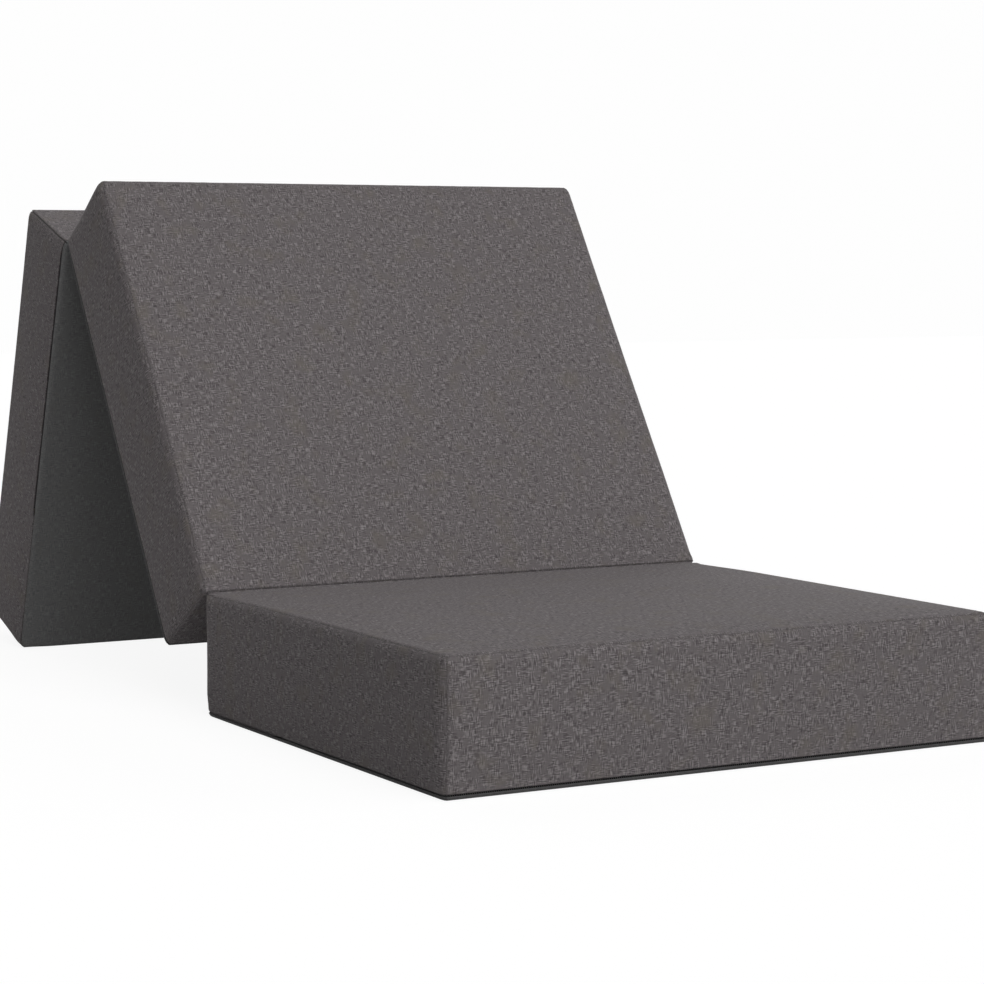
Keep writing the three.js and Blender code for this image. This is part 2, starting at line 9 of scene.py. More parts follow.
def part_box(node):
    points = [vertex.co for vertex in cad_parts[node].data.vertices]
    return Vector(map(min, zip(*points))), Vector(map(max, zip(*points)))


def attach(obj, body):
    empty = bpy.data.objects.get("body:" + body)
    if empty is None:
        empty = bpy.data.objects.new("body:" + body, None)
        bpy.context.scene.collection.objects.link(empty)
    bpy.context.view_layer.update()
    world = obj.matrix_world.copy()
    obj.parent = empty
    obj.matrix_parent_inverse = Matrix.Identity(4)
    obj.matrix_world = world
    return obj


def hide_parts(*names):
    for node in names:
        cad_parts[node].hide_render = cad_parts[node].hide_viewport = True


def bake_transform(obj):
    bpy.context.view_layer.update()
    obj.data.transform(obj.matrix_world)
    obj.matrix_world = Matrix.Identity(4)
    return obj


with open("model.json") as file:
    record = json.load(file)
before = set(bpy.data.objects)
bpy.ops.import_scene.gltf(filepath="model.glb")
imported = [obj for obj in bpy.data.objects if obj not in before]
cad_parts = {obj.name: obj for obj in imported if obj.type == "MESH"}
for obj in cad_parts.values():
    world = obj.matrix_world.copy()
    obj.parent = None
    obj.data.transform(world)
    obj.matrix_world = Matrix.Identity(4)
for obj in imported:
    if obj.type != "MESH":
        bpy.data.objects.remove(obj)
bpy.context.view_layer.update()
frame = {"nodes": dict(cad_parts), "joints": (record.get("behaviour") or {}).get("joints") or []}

scene = bpy.context.scene
mm = 0.001
near = 1e-6  # closer than this counts as touching

# The camera stands where the photograph was taken from: low, in front and to the left
cameraView = {
    "place": (-1.6383, -3.0822, 0.5436),
    "turn": 29.33,  # degrees from straight ahead towards the right
    "tilt": 4.87,  # degrees down
    "lens": 100.35,  # mm on a 36 mm sensor
    "sensor": 36,
}


def makeCamera(view):
    camera = bpy.data.objects.new("camera", bpy.data.cameras.new("camera"))
    scene.collection.objects.link(camera)
    turn = math.radians(view["turn"])
    tilt = math.radians(view["tilt"])
    ahead = Vector((math.sin(turn) * math.cos(tilt), math.cos(turn) * math.cos(tilt), -math.sin(tilt)))
    camera.location = view["place"]
    camera.rotation_mode = "QUATERNION"
    camera.rotation_quaternion = ahead.to_track_quat("-Z", "Y")
    camera.data.lens = view["lens"]
    camera.data.sensor_width = view["sensor"]
    scene.camera = camera


makeCamera(cameraView)
print("camera set")

# Sizes and places of the three blocks, read from the frame
joints = {joint["name"]: joint for joint in frame["joints"]}
seatLow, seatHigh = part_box("seat_side_band")
seatHinge = Vector(joints["backrest_hinge"]["pos_m"])
supportHinge = Vector(joints["support_hinge"]["pos_m"])
blockWidth = round(seatHigh.x - seatLow.x, 4)
blockLength = round(seatHinge.y - seatLow.y, 4)
blockThickness = round(seatHinge.z, 4)
hingeSetback = round(seatHinge.y - seatHigh.y, 4)
halfWidth = blockWidth / 2

blocks = {
    "seat": {
        "topHinge": "high",
        "baseHinge": None,
        "zipOnLeft": True,
        "onFloor": True,
        "cornerWidth": 0.010,  # the upright corners' rounding on the end's side
        "cornerSeam": 0.3,  # how deep their seams are pressed in, and how dark painted shade makes them
        "baseEdgeWidth": 0.004,
        "edgeShade": 0.7,  # painted shade on the base's turned-up edge, for the shadow where it meets the floor
        "gape": 0.0,  # how far the side has pulled away from its zip
    },
    "backrest": {
        "topHinge": "low",
        "baseHinge": "high",
        "zipOnLeft": False,
        "onFloor": False,
        "cornerWidth": 0.010,
        "cornerSeam": 0.3,
        "baseEdgeWidth": 0.008,
        "edgeShade": 0.0,
        "gape": 0.0,
    },
    "support": {
        "topHinge": None,
        "baseHinge": "low",
        "zipOnLeft": True,
        "onFloor": False,
        "cornerWidth": 0.0075,
        "cornerSeam": 1.0,
        "baseEdgeWidth": 0.008,
        "edgeShade": 0.0,
        "gape": 0.005,
    },
}


# The matrix from a block lying flat, with its lower end at y = 0, to where it stands
def blockPlace(name):
    along = -Vector(joints[name + "_zip"]["axis"]).normalized()
    across = Vector((1, 0, 0))
    up = across.cross(along)
    origin = {
        "seat": Vector((0, seatLow.y, 0)),
        "backrest": seatHinge - up * blockThickness,
        "support": supportHinge,
    }[name]
    return Matrix.Translation(origin) @ Matrix((across, along, up)).transposed().to_4x4()


for name, block in blocks.items():
    block["place"] = blockPlace(name)
    block["hingeEnds"] = [end for end in (block["topHinge"], block["baseHinge"]) if end]
    block["low"] = hingeSetback if "low" in block["hingeEnds"] else 0
    block["high"] = blockLength - (hingeSetback if "high" in block["hingeEnds"] else 0)
    block["middle"] = (block["low"] + block["high"]) / 2
    block["halfLength"] = (block["high"] - block["low"]) / 2

# The form of a filled cover, in metres
coverForm = {
    "sewnEdgeWidth": 0.010,  # each sewn edge is tight on one side of its seam and slack on the other
    "sewnEdgeHeight": 0.014,
    "tightCornerWidth": 0.0056,  # of an upright corner by the zip or by a hinge
    "tightTo": 0.01,  # up to this height by the zip
    "looseFrom": 0.05,
    "hingeEdgeRadius": 0.0022,
    "baseEdgeRadius": 0.0035,
    "softBaseRadius": 0.0065,  # at the base's two corners that no zip runs round
    "softBaseReach": 0.05,
    "seamTurn": math.pi / 3,  # where the seam runs on the rounded edge
    "baseMiddleTurn": math.pi / 4,
    "fullness": 0.0015,  # how far the filled sides stand out above the zip
    "fullFrom": 0.008,
    "fullAt": 0.03,
    "lift": 0.0018,  # of the sleeping face away from its hinge
    "liftReach": 0.15,
    "crown": 0.003,
    "undersideCrown": 0.0015,
    "crownPower": 2.5,
    "drawIn": 0.001,
    "drawFrom": 0.017,  # height where a side starts to draw in
    "cornerReach": 0.02,  # where the mesh of a face's corner is evened out, so that it doesn't fold
    "cornerRounds": 20,
    "clothThickness": 0.0012,
    "slotBottom": 0.0043,
    "slotTop": 0.0065,
    "slotLength": 0.39,  # along each side that the zip runs up
    "slotTaper": 0.02,
    "gapeReach": 0.03,
    "seamGap": 0.00012,
    "seamDepth": 0.0015,
    "seamReach": 0.0025,
    "seamPower": 1.5,
    "rimSeam": 0.3,  # how deep the seam round the sleeping face is pressed in, and how dark painted shade makes it
    "puckerDepth": 0.0003,
    "puckerWidth": 0.007,
    "puckerSlant": 3,  # turns the puckers' noise away from the edges' own directions
    "lineStep": 0.009,  # the mesh's even spacing away from the edges
    "faceLines": (0, 0.001, 0.002, 0.0032, 0.0046, 0.0062, 0.008, 0.01, 0.0125, 0.016, 0.022, 0.030),
    "bandLines": (0, 0.0011, 0.0022, 0.0036, 0.0055, 0.0078, 0.0105, 0.0135, 0.017, 0.022, 0.029),
    "baseLines": (0, 0.001, 0.002, 0.003, 0.0043, 0.0065, 0.008, 0.0105, 0.014, 0.019, 0.026),
}


def smoothStep(value, start, end):
    share = min(1, max(0, (value - start) / (end - start)))
    return share * share * (3 - 2 * share)


def between(start, end, share):
    return start + (end - start) * share


# Places from 0 to length, close together by both ends as the lists say, and even in between
def lineUp(length, startLines, endLines, step):
    inner = length - startLines[-1] - endLines[-1]
    count = max(1, round(inner / step))
    evenly = [startLines[-1] + inner * i / count for i in range(1, count)]
    return [*startLines, *evenly, *[length - line for line in reversed(endLines)]]


# A box whose faces are cut into a grid along the given places
def gridBox(xs, ys, zs):
    bm = bmesh.new()
    bmesh.ops.create_cube(bm, size=1)
    for axis, lines in enumerate((xs, ys, zs)):
        edges = [edge for edge in bm.edges if abs((edge.verts[0].co - edge.verts[1].co)[axis]) > 0.5]
        bmesh.ops.subdivide_edges(bm, edges=edges, cuts=len(lines) - 2, use_grid_fill=True)
    for vert in bm.verts:
        for axis, lines in enumerate((xs, ys, zs)):
            vert.co[axis] = lines[round((vert.co[axis] + 0.5) * (len(lines) - 1))]
    bm.verts.index_update()
    return bm


def blockGrid(block, faceLines, bandLines, baseLines, step):
    xs = [x - halfWidth for x in lineUp(blockWidth, faceLines, faceLines, step)]
    ys = [y + block["low"] for y in lineUp(block["high"] - block["low"], faceLines, faceLines, step)]
    zs = lineUp(blockThickness, baseLines, bandLines, step)
    return gridBox(xs, ys, zs)


# How far a flat place lies inside the outline, the way out, and its place in plan. Each upright
# corner is a sewn edge too: tight on the end's side of its seam and slack on the long side
def planOf(block, flat):
    tight, slack = coverForm["tightCornerWidth"], coverForm["sewnEdgeHeight"]
    end = "low" if flat.y < block["middle"] else "high"
    if end != block["topHinge"]:
        share = smoothStep(flat.z, coverForm["tightTo"], coverForm["looseFrom"])
        tight = between(tight, block["cornerWidth"], share)
    gapX = halfWidth - abs(flat.x)
    gapY = block["halfLength"] - abs(flat.y - block["middle"])
    side = Vector((math.copysign(1, flat.x), math.copysign(1, flat.y - block["middle"])))
    shareX = max(0, 1 - gapX / tight)
    shareY = max(0, 1 - gapY / slack)
    if shareX and shareY:
        seam = coverForm["seamTurn"]
        turn = seam * shareY / shareX if shareY < shareX else between(math.pi / 2, seam, shareX / shareY)
        reach = max(shareX, shareY)
        place = Vector((halfWidth - tight, block["halfLength"] - slack))
        place += reach * Vector((tight * math.cos(turn), slack * math.sin(turn)))
        way = Vector((math.cos(turn) / tight, math.sin(turn) / slack))
        inside = (1 - reach) / way.length
        way.normalize()
    else:
        onLongSide = gapX / tight < gapY / slack
        inside = gapX if onLongSide else gapY
        way = Vector((1, 0)) if onLongSide else Vector((0, 1))
        place = Vector((halfWidth - gapX, block["halfLength"] - gapY))
    return max(0, inside), way * side, place * side


# How far a place in plan lies from the end where a face is hinged
def fromHinge(block, y, hinge):
    return {"low": y - block["low"], "high": block["high"] - y, None: blockLength}[hinge]


# From 0 where the outline faces away from the hinge to 1 from half-way round the corner to it
def towardsHinge(way, hinge):
    facing = way.y * {"low": -1, "high": 1, None: 0}[hinge]
    return min(1, math.asin(min(1, max(0, facing))) / (math.pi / 4))


# Width and height of the upper edge where the outline faces a given way: small and round at a hinge
def upperEdgeSize(block, way):
    share = towardsHinge(way, block["topHinge"])
    width, height, hinge = (coverForm[key] for key in ("sewnEdgeWidth", "sewnEdgeHeight", "hingeEdgeRadius"))
    return between(width, hinge, share), between(height, hinge, share)


# The same of the base's edge, which is rounder at the two corners away from the zip
def lowerEdgeSize(block, flat, way):
    fromCorner = math.hypot(halfWidth - abs(flat.x), block["high"] - flat.y)
    soft = 1 - smoothStep(fromCorner, coverForm["softBaseRadius"], coverForm["softBaseReach"])
    height = between(coverForm["baseEdgeRadius"], coverForm["softBaseRadius"], soft)
    return between(block["baseEdgeWidth"], height, towardsHinge(way, block["baseHinge"])), height


# How far in and how far below the face a place on a rounded edge lies, from its distances on the flat box
def roundedEdge(inside, below, width, height, middleTurn, depth):
    if below < near:
        turn = between(middleTurn, math.pi / 2, min(1, inside / width))
    else:
        turn = middleTurn * max(0, 1 - below / height)
    inset = width - (width - depth) * math.cos(turn)
    drop = height - (height - depth) * math.sin(turn)
    return max(inset, inside), max(drop, below), turn


# The place of a flat place on the filled form, some depth below its surface
def formPoint(block, flat, depth=0.0, bevel=(0.0, 1.0)):
    inside, way, plan = planOf(block, flat)
    fromTop = blockThickness - flat.z
    crown = 0.0
    if flat.z < blockThickness / 2:
        width, rise = lowerEdgeSize(block, flat, way)
        inset, height, turn = roundedEdge(inside, flat.z, width, rise, coverForm["baseMiddleTurn"], depth)
        if not block["onFloor"]:
            crown = -coverForm["undersideCrown"] * math.sin(turn)
    else:
        width, rise = upperEdgeSize(block, way)
        inset, drop, turn = roundedEdge(inside, fromTop, width, rise, coverForm["seamTurn"], depth)
        height = blockThickness - drop
        crown = coverForm["crown"] * math.sin(turn)
    plan -= way * (inset - inside)
    across = min(1, abs(plan.x) / halfWidth)
    along = min(1, abs(plan.y) / block["halfLength"])
    draw = coverForm["drawIn"] * smoothStep(height, coverForm["drawFrom"], blockThickness / 2)
    free = 0 if ("low" if plan.y < 0 else "high") in block["hingeEnds"] else 1
    bevelIn = bevel[0] * max(0, 1 - height / bevel[1])
    full = coverForm["fullness"] * smoothStep(height, coverForm["fullFrom"], coverForm["fullAt"])
    plan.x *= 1 + (full - draw * (1 - along**2) - bevelIn) / halfWidth
    plan.y *= 1 + (free * (full - draw * (1 - across**2)) - bevelIn) / block["halfLength"]
    plan.y += block["middle"]
    away = smoothStep(fromHinge(block, plan.y, block["topHinge"]), 0, coverForm["liftReach"])
    lift = coverForm["lift"] * away * smoothStep(height, blockThickness / 2, blockThickness)
    height += crown * (1 - across ** coverForm["crownPower"]) * (1 - along ** coverForm["crownPower"]) + lift
    return Vector((plan.x, plan.y, height))


# How open the zip's slot is at a flat place on the outline: from 1, open, to 0, a plain seam
def slotOpening(block, flat):
    taper = coverForm["slotTaper"]
    up = 1 - smoothStep(flat.y, coverForm["slotLength"], coverForm["slotLength"] + taper)
    across = 1 if block["zipOnLeft"] else smoothStep(flat.x, -halfWidth, taper - halfWidth)
    return up * across


# How the cloth swells over the foam
swell = {
    "pressure": 4.0,
    "frames": 20,
    "mass": 0.3,
    "stretch": 20,
    "bend": 1.5,
    "cap": 0.0032,  # the furthest that a point may move
    "heldBand": 0.03,  # from a seam to where the cloth is free
    "hingeHeld": (0.03, 0.25),  # from a hinge, where two faces fold together
    "unevenness": 0.0006,
    "unevenWidth": 0.11,
}


def simulateCloth(piece, holds):
    group = piece.vertex_groups.new(name="held")
    for index, weight in enumerate(holds):
        group.add([index], weight, "REPLACE")
    cloth = piece.modifiers.new("cloth", "CLOTH")
    cloth.settings.mass = swell["mass"]
    cloth.settings.tension_stiffness = swell["stretch"]
    cloth.settings.compression_stiffness = swell["stretch"]
    cloth.settings.bending_stiffness = swell["bend"]
    cloth.settings.use_pressure = True
    cloth.settings.uniform_pressure_force = swell["pressure"]
    cloth.settings.vertex_group_mass = group.name
    cloth.settings.effector_weights.gravity = 0
    cloth.point_cache.frame_end = swell["frames"]
    for number in range(1, swell["frames"] + 1):
        scene.frame_set(number)
    evaluated = piece.evaluated_get(bpy.context.evaluated_depsgraph_get())
    moved = [vert.co.copy() for vert in evaluated.data.vertices]
    piece.modifiers.remove(cloth)
    piece.vertex_groups.remove(group)
    scene.frame_set(1)
    return moved


def newPiece(name, bm, material, place=Matrix.Identity(4)):
    mesh = bpy.data.meshes.new(name)
    bm.transform(place)
    bm.to_mesh(mesh)
    bm.free()
    mesh.shade_smooth()
    mesh.materials.append(material)
    piece = bpy.data.objects.new(name, mesh)
    scene.collection.objects.link(piece)
    return piece


# One small function adds a node: what it is set to, and what is linked into it
def addNode(tree, kind, settings=(), links=()):
    node = tree.nodes.new("ShaderNode" + kind)
    for key, value in dict(settings).items():
        if isinstance(key, str) and hasattr(node, key):
            setattr(node, key, value)
        else:
            node.inputs[key].default_value = value
    for key, source in dict(links).items():
        tree.links.new(source, node.inputs[key])
    return node


def linear(hexColour):
    values = [int(hexColour[i : i + 2], 16) / 255 for i in (1, 3, 5)]
    return (*[v / 12.92 if v <= 0.04045 else ((v + 0.055) / 1.055) ** 2.4 for v in values], 1)


def newMaterial(name):
    material = bpy.data.materials.new(name)
    material.use_nodes = True
    material.node_tree.nodes.clear()
    return material


# Melange polyester in a linen-look plain weave: matt, with slubs both ways in paler and darker yarn
melange = {
    "ground": "#686364",
    "dark": "#4b4748",
    "light": "#8b8687",
    "warm": "#6b655e",
    # colour of the painted shade in the seams, the closed slot and the seat's base edge
    "paintedShade": "#2b292a",
    "threadSpacing": 1.2,  # mm; the real 0.7 mm yarn is too fine to show
    "slubLength": 8.0,  # mm
    "slubSpan": (0.32, 0.68),  # of the noise, from the thinnest yarn to the thickest
    "slubPatch": 12.0,  # mm, the patches where the slubs of one way show
    "patchSpan": (0.38, 0.58),
    "patchLeast": 0.2,
    "toneMost": 1.5,
    "noiseRoughness": 0.6,
    "shifts": ((7.3, 3.1), (11.9, 5.7)),  # keep the two ways' yarns and patches apart
    "stops": ((0.1, "dark"), (0.45, "ground"), (0.55, "ground"), (0.9, "light")),
    "warmPatch": 42.0,  # mm
    "warmSpan": (0.55, 0.75),
    "warmMost": 0.5,
    # how far the painted shade goes towards that colour at most
    "paintedShadeMost": 0.8,
    "bump": 0.3,
    "bumpHeight": 0.4,  # mm
    "roughness": 0.92,
    "specular": 0.15,
    "sheen": (0.03, 0.5),  # weight and roughness
}


def makeMelange(name, look):
    material = newMaterial(name)
    tree = material.node_tree
    uv = addNode(tree, "UVMap", {"uv_map": "cloth"})

    # Noise over the flat cloth, as coarse across and along as two sizes in mm say
    def clothNoise(across, along, shift=(0, 0), detail=1):
        place = {"Scale": (1 / (across * mm), 1 / (along * mm), 1), "Location": (*shift, 0)}
        spread = addNode(tree, "Mapping", place, {"Vector": uv.outputs["UV"]})
        settings = {"noise_dimensions": "2D", "Scale": 1, "Detail": detail}
        settings["Roughness"] = look["noiseRoughness"]
        return addNode(tree, "TexNoise", settings, {"Vector": spread.outputs["Vector"]}).outputs["Fac"]

    slubs = []
    (yarnShift, yarnRow), (patchShift, patchRow) = look["shifts"]
    for turned in (False, True):
        across, along = ("slubLength", "threadSpacing") if turned else ("threadSpacing", "slubLength")
        yarn = clothNoise(look[across], look[along], (yarnShift * turned, yarnRow))
        low, high = look["slubSpan"]
        thick = addNode(tree, "MapRange", {"From Min": low, "From Max": high, "To Min": -1}, {"Value": yarn})
        place = clothNoise(look["slubPatch"], look["slubPatch"], (patchShift * turned, patchRow))
        low, high = look["patchSpan"]
        span = {"From Min": low, "From Max": high, "To Min": look["patchLeast"]}
        shows = addNode(tree, "MapRange", span, {"Value": place})
        factors = {0: thick.outputs[0], 1: shows.outputs[0]}
        slubs.append(addNode(tree, "Math", {"operation": "MULTIPLY"}, factors))
    both = addNode(tree, "Math", {"operation": "ADD"}, {0: slubs[0].outputs[0], 1: slubs[1].outputs[0]})
    span = {"From Min": -look["toneMost"], "From Max": look["toneMost"]}
    tone = addNode(tree, "MapRange", span, {"Value": both.outputs[0]})
    ramp = addNode(tree, "ValToRGB", {}, {"Fac": tone.outputs[0]})
    while len(ramp.color_ramp.elements) < len(look["stops"]):
        ramp.color_ramp.elements.new(0.5)
    for element, (position, key) in zip(ramp.color_ramp.elements, look["stops"]):
        element.position = position
        element.color = linear(look[key])

    warmPlace = clothNoise(look["warmPatch"], look["warmPatch"], detail=3)
    low, high = look["warmSpan"]
    span = {"From Min": low, "From Max": high, "To Max": look["warmMost"]}
    warmShare = addNode(tree, "MapRange", span, {"Value": warmPlace})
    colour = addNode(
        tree,
        "Mix",
        {"data_type": "RGBA", 7: linear(look["warm"])},
        {0: warmShare.outputs["Result"], 6: ramp.outputs["Color"]},
    )
    # Painted shade: an attribute darkens the cloth where shade falls, in the seams' grooves, the closed slot
    # and the seat's base edge
    paintedShade = addNode(tree, "Attribute", {"attribute_name": "paintedShade"})
    sinkAndShade = addNode(tree, "Math", {"operation": "MULTIPLY", 1: look["paintedShadeMost"]}, {0: paintedShade.outputs["Fac"]})
    colour = addNode(
        tree,
        "Mix",
        {"data_type": "RGBA", 7: linear(look["paintedShade"])},
        {0: sinkAndShade.outputs[0], 6: colour.outputs[2]},
    )
    raised = {"Strength": look["bump"], "Distance": look["bumpHeight"] * mm}
    bump = addNode(tree, "Bump", raised, {"Height": tone.outputs[0]})
    sheen, sheenRoughness = look["sheen"]
    shader = addNode(
        tree,
        "BsdfPrincipled",
        {
            "Roughness": look["roughness"],
            "Specular IOR Level": look["specular"],
            "Sheen Weight": sheen,
            "Sheen Roughness": sheenRoughness,
        },
        {"Base Color": colour.outputs[2], "Normal": bump.outputs["Normal"]},
    )
    addNode(tree, "OutputMaterial", {}, {"Surface": shader.outputs["BSDF"]})
    return material


# The base's cloth is the same weave in an even grey
baseMelange = {**melange, "ground": "#686868", "dark": "#5d5d5d", "light": "#767676", "warm": "#676765"}
coverCloth = makeMelange("melangeLinenWeave", melange)
baseCloth = makeMelange("melangeBaseWeave", baseMelange)


grainNoise = {"Detail": 4.0, "Roughness": 0.6}
grainHeight = 0.3  # mm


# A surface with one fine grain that changes its colour, roughness and height together
def makeGrained(name, look):
    material = newMaterial(name)
    tree = material.node_tree
    place = addNode(tree, "TexCoord").outputs["Object"]
    scale = 1 / (look["grain"] * mm)
    if look["cells"]:
        texture = addNode(tree, "TexVoronoi", {"Scale": scale}, {"Vector": place}).outputs["Distance"]
    else:
        texture = addNode(tree, "TexNoise", {"Scale": scale, **grainNoise}, {"Vector": place}).outputs["Fac"]
    low, high = look["span"]
    grain = addNode(tree, "MapRange", {"From Min": low, "From Max": high}, {"Value": texture}).outputs[0]
    ends = {"data_type": "RGBA", 6: linear(look["dark"]), 7: linear(look["light"])}
    colour = addNode(tree, "Mix", ends, {0: grain})
    rough = {"To Min": look["roughness"][0], "To Max": look["roughness"][1]}
    roughness = addNode(tree, "MapRange", rough, {"Value": grain})
    bump = addNode(tree, "Bump", {"Strength": look["bump"], "Distance": grainHeight * mm}, {"Height": grain})
    surface = {
        "Base Color": colour.outputs[2],
        "Roughness": roughness.outputs[0],
        "Normal": bump.outputs["Normal"],
    }
    gloss = {"Metallic": look["metallic"], "Specular IOR Level": look["specular"]}
    shader = addNode(tree, "BsdfPrincipled", gloss, surface)
    addNode(tree, "OutputMaterial", {}, {"Surface": shader.outputs["BSDF"]})
    return material


# Open-cell foam: cream, matt and sponge-like, with darker pores
openCellFoam = {
    "dark": "#c9bf9f",
    "light": "#e9e1c9",
    "grain": 1.1,  # mm
    "cells": True,
    "span": (0.1, 0.6),
    "roughness": (0.9, 0.98),
    "bump": 0.5,
    "metallic": 0.0,
    "specular": 0.1,
}
# Woven polyester tape: a dull near-black with small raised cells of yarn
wovenTape = {
    "dark": "#1e1c1d",
    "light": "#393738",
    "grain": 0.7,  # mm
    "cells": True,
    "span": (0.1, 0.7),
    "roughness": (0.85, 0.95),
    "bump": 0.5,
    "metallic": 0.0,
    "specular": 0.15,
}
# Nylon coil: smooth near-black plastic with a soft shine on each tooth
nylonCoil = {
    "dark": "#1f1e1f",
    "light": "#2d2b2c",
    "grain": 3.0,  # mm
    "cells": False,
    "span": (0.3, 0.7),
    "roughness": (0.32, 0.45),
    "bump": 0.05,
    "metallic": 0.0,
    "specular": 0.5,
}
# Blackened zinc alloy: dark satin metal, paler and smoother in patches where fingers rub it
blackenedZinc = {
    "dark": "#2f2e30",
    "light": "#4a494c",
    "grain": 5.0,  # mm
    "cells": False,
    "span": (0.35, 0.65),
    "roughness": (0.48, 0.3),
    "bump": 0.04,
    "metallic": 0.9,
    "specular": 0.5,
}
foamSurface = makeGrained("openCellFoam", openCellFoam)
zipTapeCloth = makeGrained("wovenZipTape", wovenTape)
zipCoil = makeGrained("nylonCoil", nylonCoil)
zipMetal = makeGrained("blackenedZinc", blackenedZinc)


clothPlaces = {"top": 2, "base": 4, "hinge": 6}  # metres along the roll that the pieces are cut from


# UV in metres: each panel lies flat on the cloth it was cut from, and the band runs round the sides
def layCloth(bm, block, flats):
    layer = bm.loops.layers.uv.new("cloth")
    for face in bm.faces:
        corners = [flats[loop.vert.index] for loop in face.loops]
        centre = sum(corners, Vector()) / len(corners)
        for loop, flat in zip(face.loops, corners):
            if centre.z > blockThickness - near:
                at = (flat.x + clothPlaces["top"], flat.y)
            elif centre.z < near:
                at = (flat.x + clothPlaces["base"], flat.y)
            elif centre.x > halfWidth - near:
                at = (flat.y, flat.z)
            elif centre.x < near - halfWidth:
                at = (2 * (blockLength + blockWidth) - flat.y, flat.z)
            elif centre.y > block["middle"]:
                at = (blockLength + halfWidth - flat.x, flat.z)
            else:
                at = (flat.x - halfWidth, flat.z)
            loop[layer].uv = at


# How firmly a flat place is held: from 1 at a seam, a hinge or the floor to 0 where the cloth is free
def holdAt(block, flat):
    if flat.z < near and block["onFloor"]:
        return 1
    if any(fromHinge(block, flat.y, end) < near for end in block["hingeEnds"]):
        return 1
    onTop, onBase = flat.z > blockThickness - near, flat.z < near
    fromSeam = planOf(block, flat)[0] if onTop or onBase else min(flat.z, blockThickness - flat.z)
    hold = 1 - smoothStep(fromSeam, coverForm["sewnEdgeWidth"], swell["heldBand"])
    if onTop or onBase:
        folded = fromHinge(block, flat.y, block["topHinge" if onTop else "baseHinge"])
        hold = max(hold, 1 - smoothStep(folded, *swell["hingeHeld"]))
    return hold


# The whole cover as one closed surface over the filled form, with its flat places
def swollenCover(name):
    block = blocks[name]
    form = coverForm
    bm = blockGrid(block, form["faceLines"], form["bandLines"], form["baseLines"], form["lineStep"])
    flats = [vert.co.copy() for vert in bm.verts]
    layCloth(bm, block, flats)
    holds = [holdAt(block, flat) for flat in flats]
    corners = []
    for vert, flat in zip(bm.verts, flats):
        vert.co = formPoint(block, flat)
        gaps = halfWidth - abs(flat.x), block["halfLength"] - abs(flat.y - block["middle"])
        if flat.z > blockThickness - near and near < min(gaps) and max(gaps) < form["cornerReach"]:
            corners.append(vert)
    flatways = {"use_axis_x": True, "use_axis_y": True, "use_axis_z": False}
    for _ in range(form["cornerRounds"]):
        bmesh.ops.smooth_vert(bm, verts=corners, factor=0.5, **flatways)
    bm.normal_update()
    for vert, flat, hold in zip(bm.verts, flats, holds):
        wave = noise.noise(flat / swell["unevenWidth"] + Vector((len(name), 0, 0)))
        vert.co += vert.normal * wave * swell["unevenness"] * (1 - hold)
    starts = [vert.co.copy() for vert in bm.verts]
    cover = newPiece(name + "_cover", bm, coverCloth)
    largest = 0
    for vert, start, end, hold in zip(cover.data.vertices, starts, simulateCloth(cover, holds), holds):
        shift = end - start
        largest = max(largest, shift.length)
        if shift.length > near and hold < 1:
            cap = swell["cap"] * (1 - hold)
            shift *= cap * math.tanh(shift.length / cap) / shift.length
            vert.co = start + shift
        else:
            vert.co = start
    print(name, "cover simulated, largest move before the cap", round(largest / mm, 2), "mm")
    return cover, flats


# Presses the seams in, with small puckers, and closes the zip's slot where there is no zip. Paints shade into
# the pressed seams and the closed slot, and onto the seat's turned-up base edge
def sewSeams(bm, block, flats):
    form = coverForm
    slant = form["puckerSlant"]
    # How much painted shade each place gets
    paintedShade = bm.verts.layers.float.new("paintedShade")
    bm.normal_update()
    normals = [vert.normal.copy() for vert in bm.verts]
    for vert, flat, normal in zip(bm.verts, flats, normals):
        inside = planOf(block, flat)[0]
        fromTop = blockThickness - flat.z
        slanted = Vector((flat.x + flat.y * slant, flat.y - flat.x * slant, 0))
        pucker = noise.noise(slanted / form["puckerWidth"])
        if abs(flat.x) > halfWidth - near and flat.z > form["slotTop"] - near:
            pulled = 1 - smoothStep(flat.z, form["slotTop"], form["gapeReach"])
            fromEnd = smoothStep(flat.y, block["low"], form["gapeReach"])
            vert.co.z += block["gape"] * pulled * slotOpening(block, flat) * fromEnd
        if form["slotBottom"] - near < flat.z < form["slotTop"] + near:
            opening = slotOpening(block, flat)
            if flat.z > form["slotTop"] - near:
                closed = formPoint(block, Vector((flat.x, flat.y, form["slotBottom"] + form["seamGap"])))
                vert.co = closed.lerp(vert.co, opening)
            vert.co -= normal * form["seamDepth"] * (1 - opening)
            # painted shade in the closed slot's seam
            vert[paintedShade] = 1 - opening
        # painted shade on the base's turned-up edge below the slot, as strong as the block's edgeShade
        if inside < near and flat.z < form["slotBottom"] + near:
            vert[paintedShade] = max(vert[paintedShade], block["edgeShade"])
        # The seams at the upright corners and round the sleeping face sink in, with painted shade as deep as
        # they sink
        fromCorner = halfWidth - abs(flat.x) + block["halfLength"] - abs(flat.y - block["middle"])
        fromRim = inside + fromTop
        for distance, strength in ((fromCorner, block["cornerSeam"]), (fromRim, form["rimSeam"])):
            sinkAndShade = strength * max(0, 1 - distance / form["seamReach"]) ** form["seamPower"]
            vert.co -= normal * form["seamDepth"] * sinkAndShade
            vert[paintedShade] = max(vert[paintedShade], sinkAndShade)
        if fromRim < form["sewnEdgeHeight"]:
            free = smoothStep(fromHinge(block, flat.y, block["topHinge"]), 0, form["liftReach"])
            vert.co += normal * pucker * form["puckerDepth"] * (1 - fromRim / form["sewnEdgeHeight"]) * free


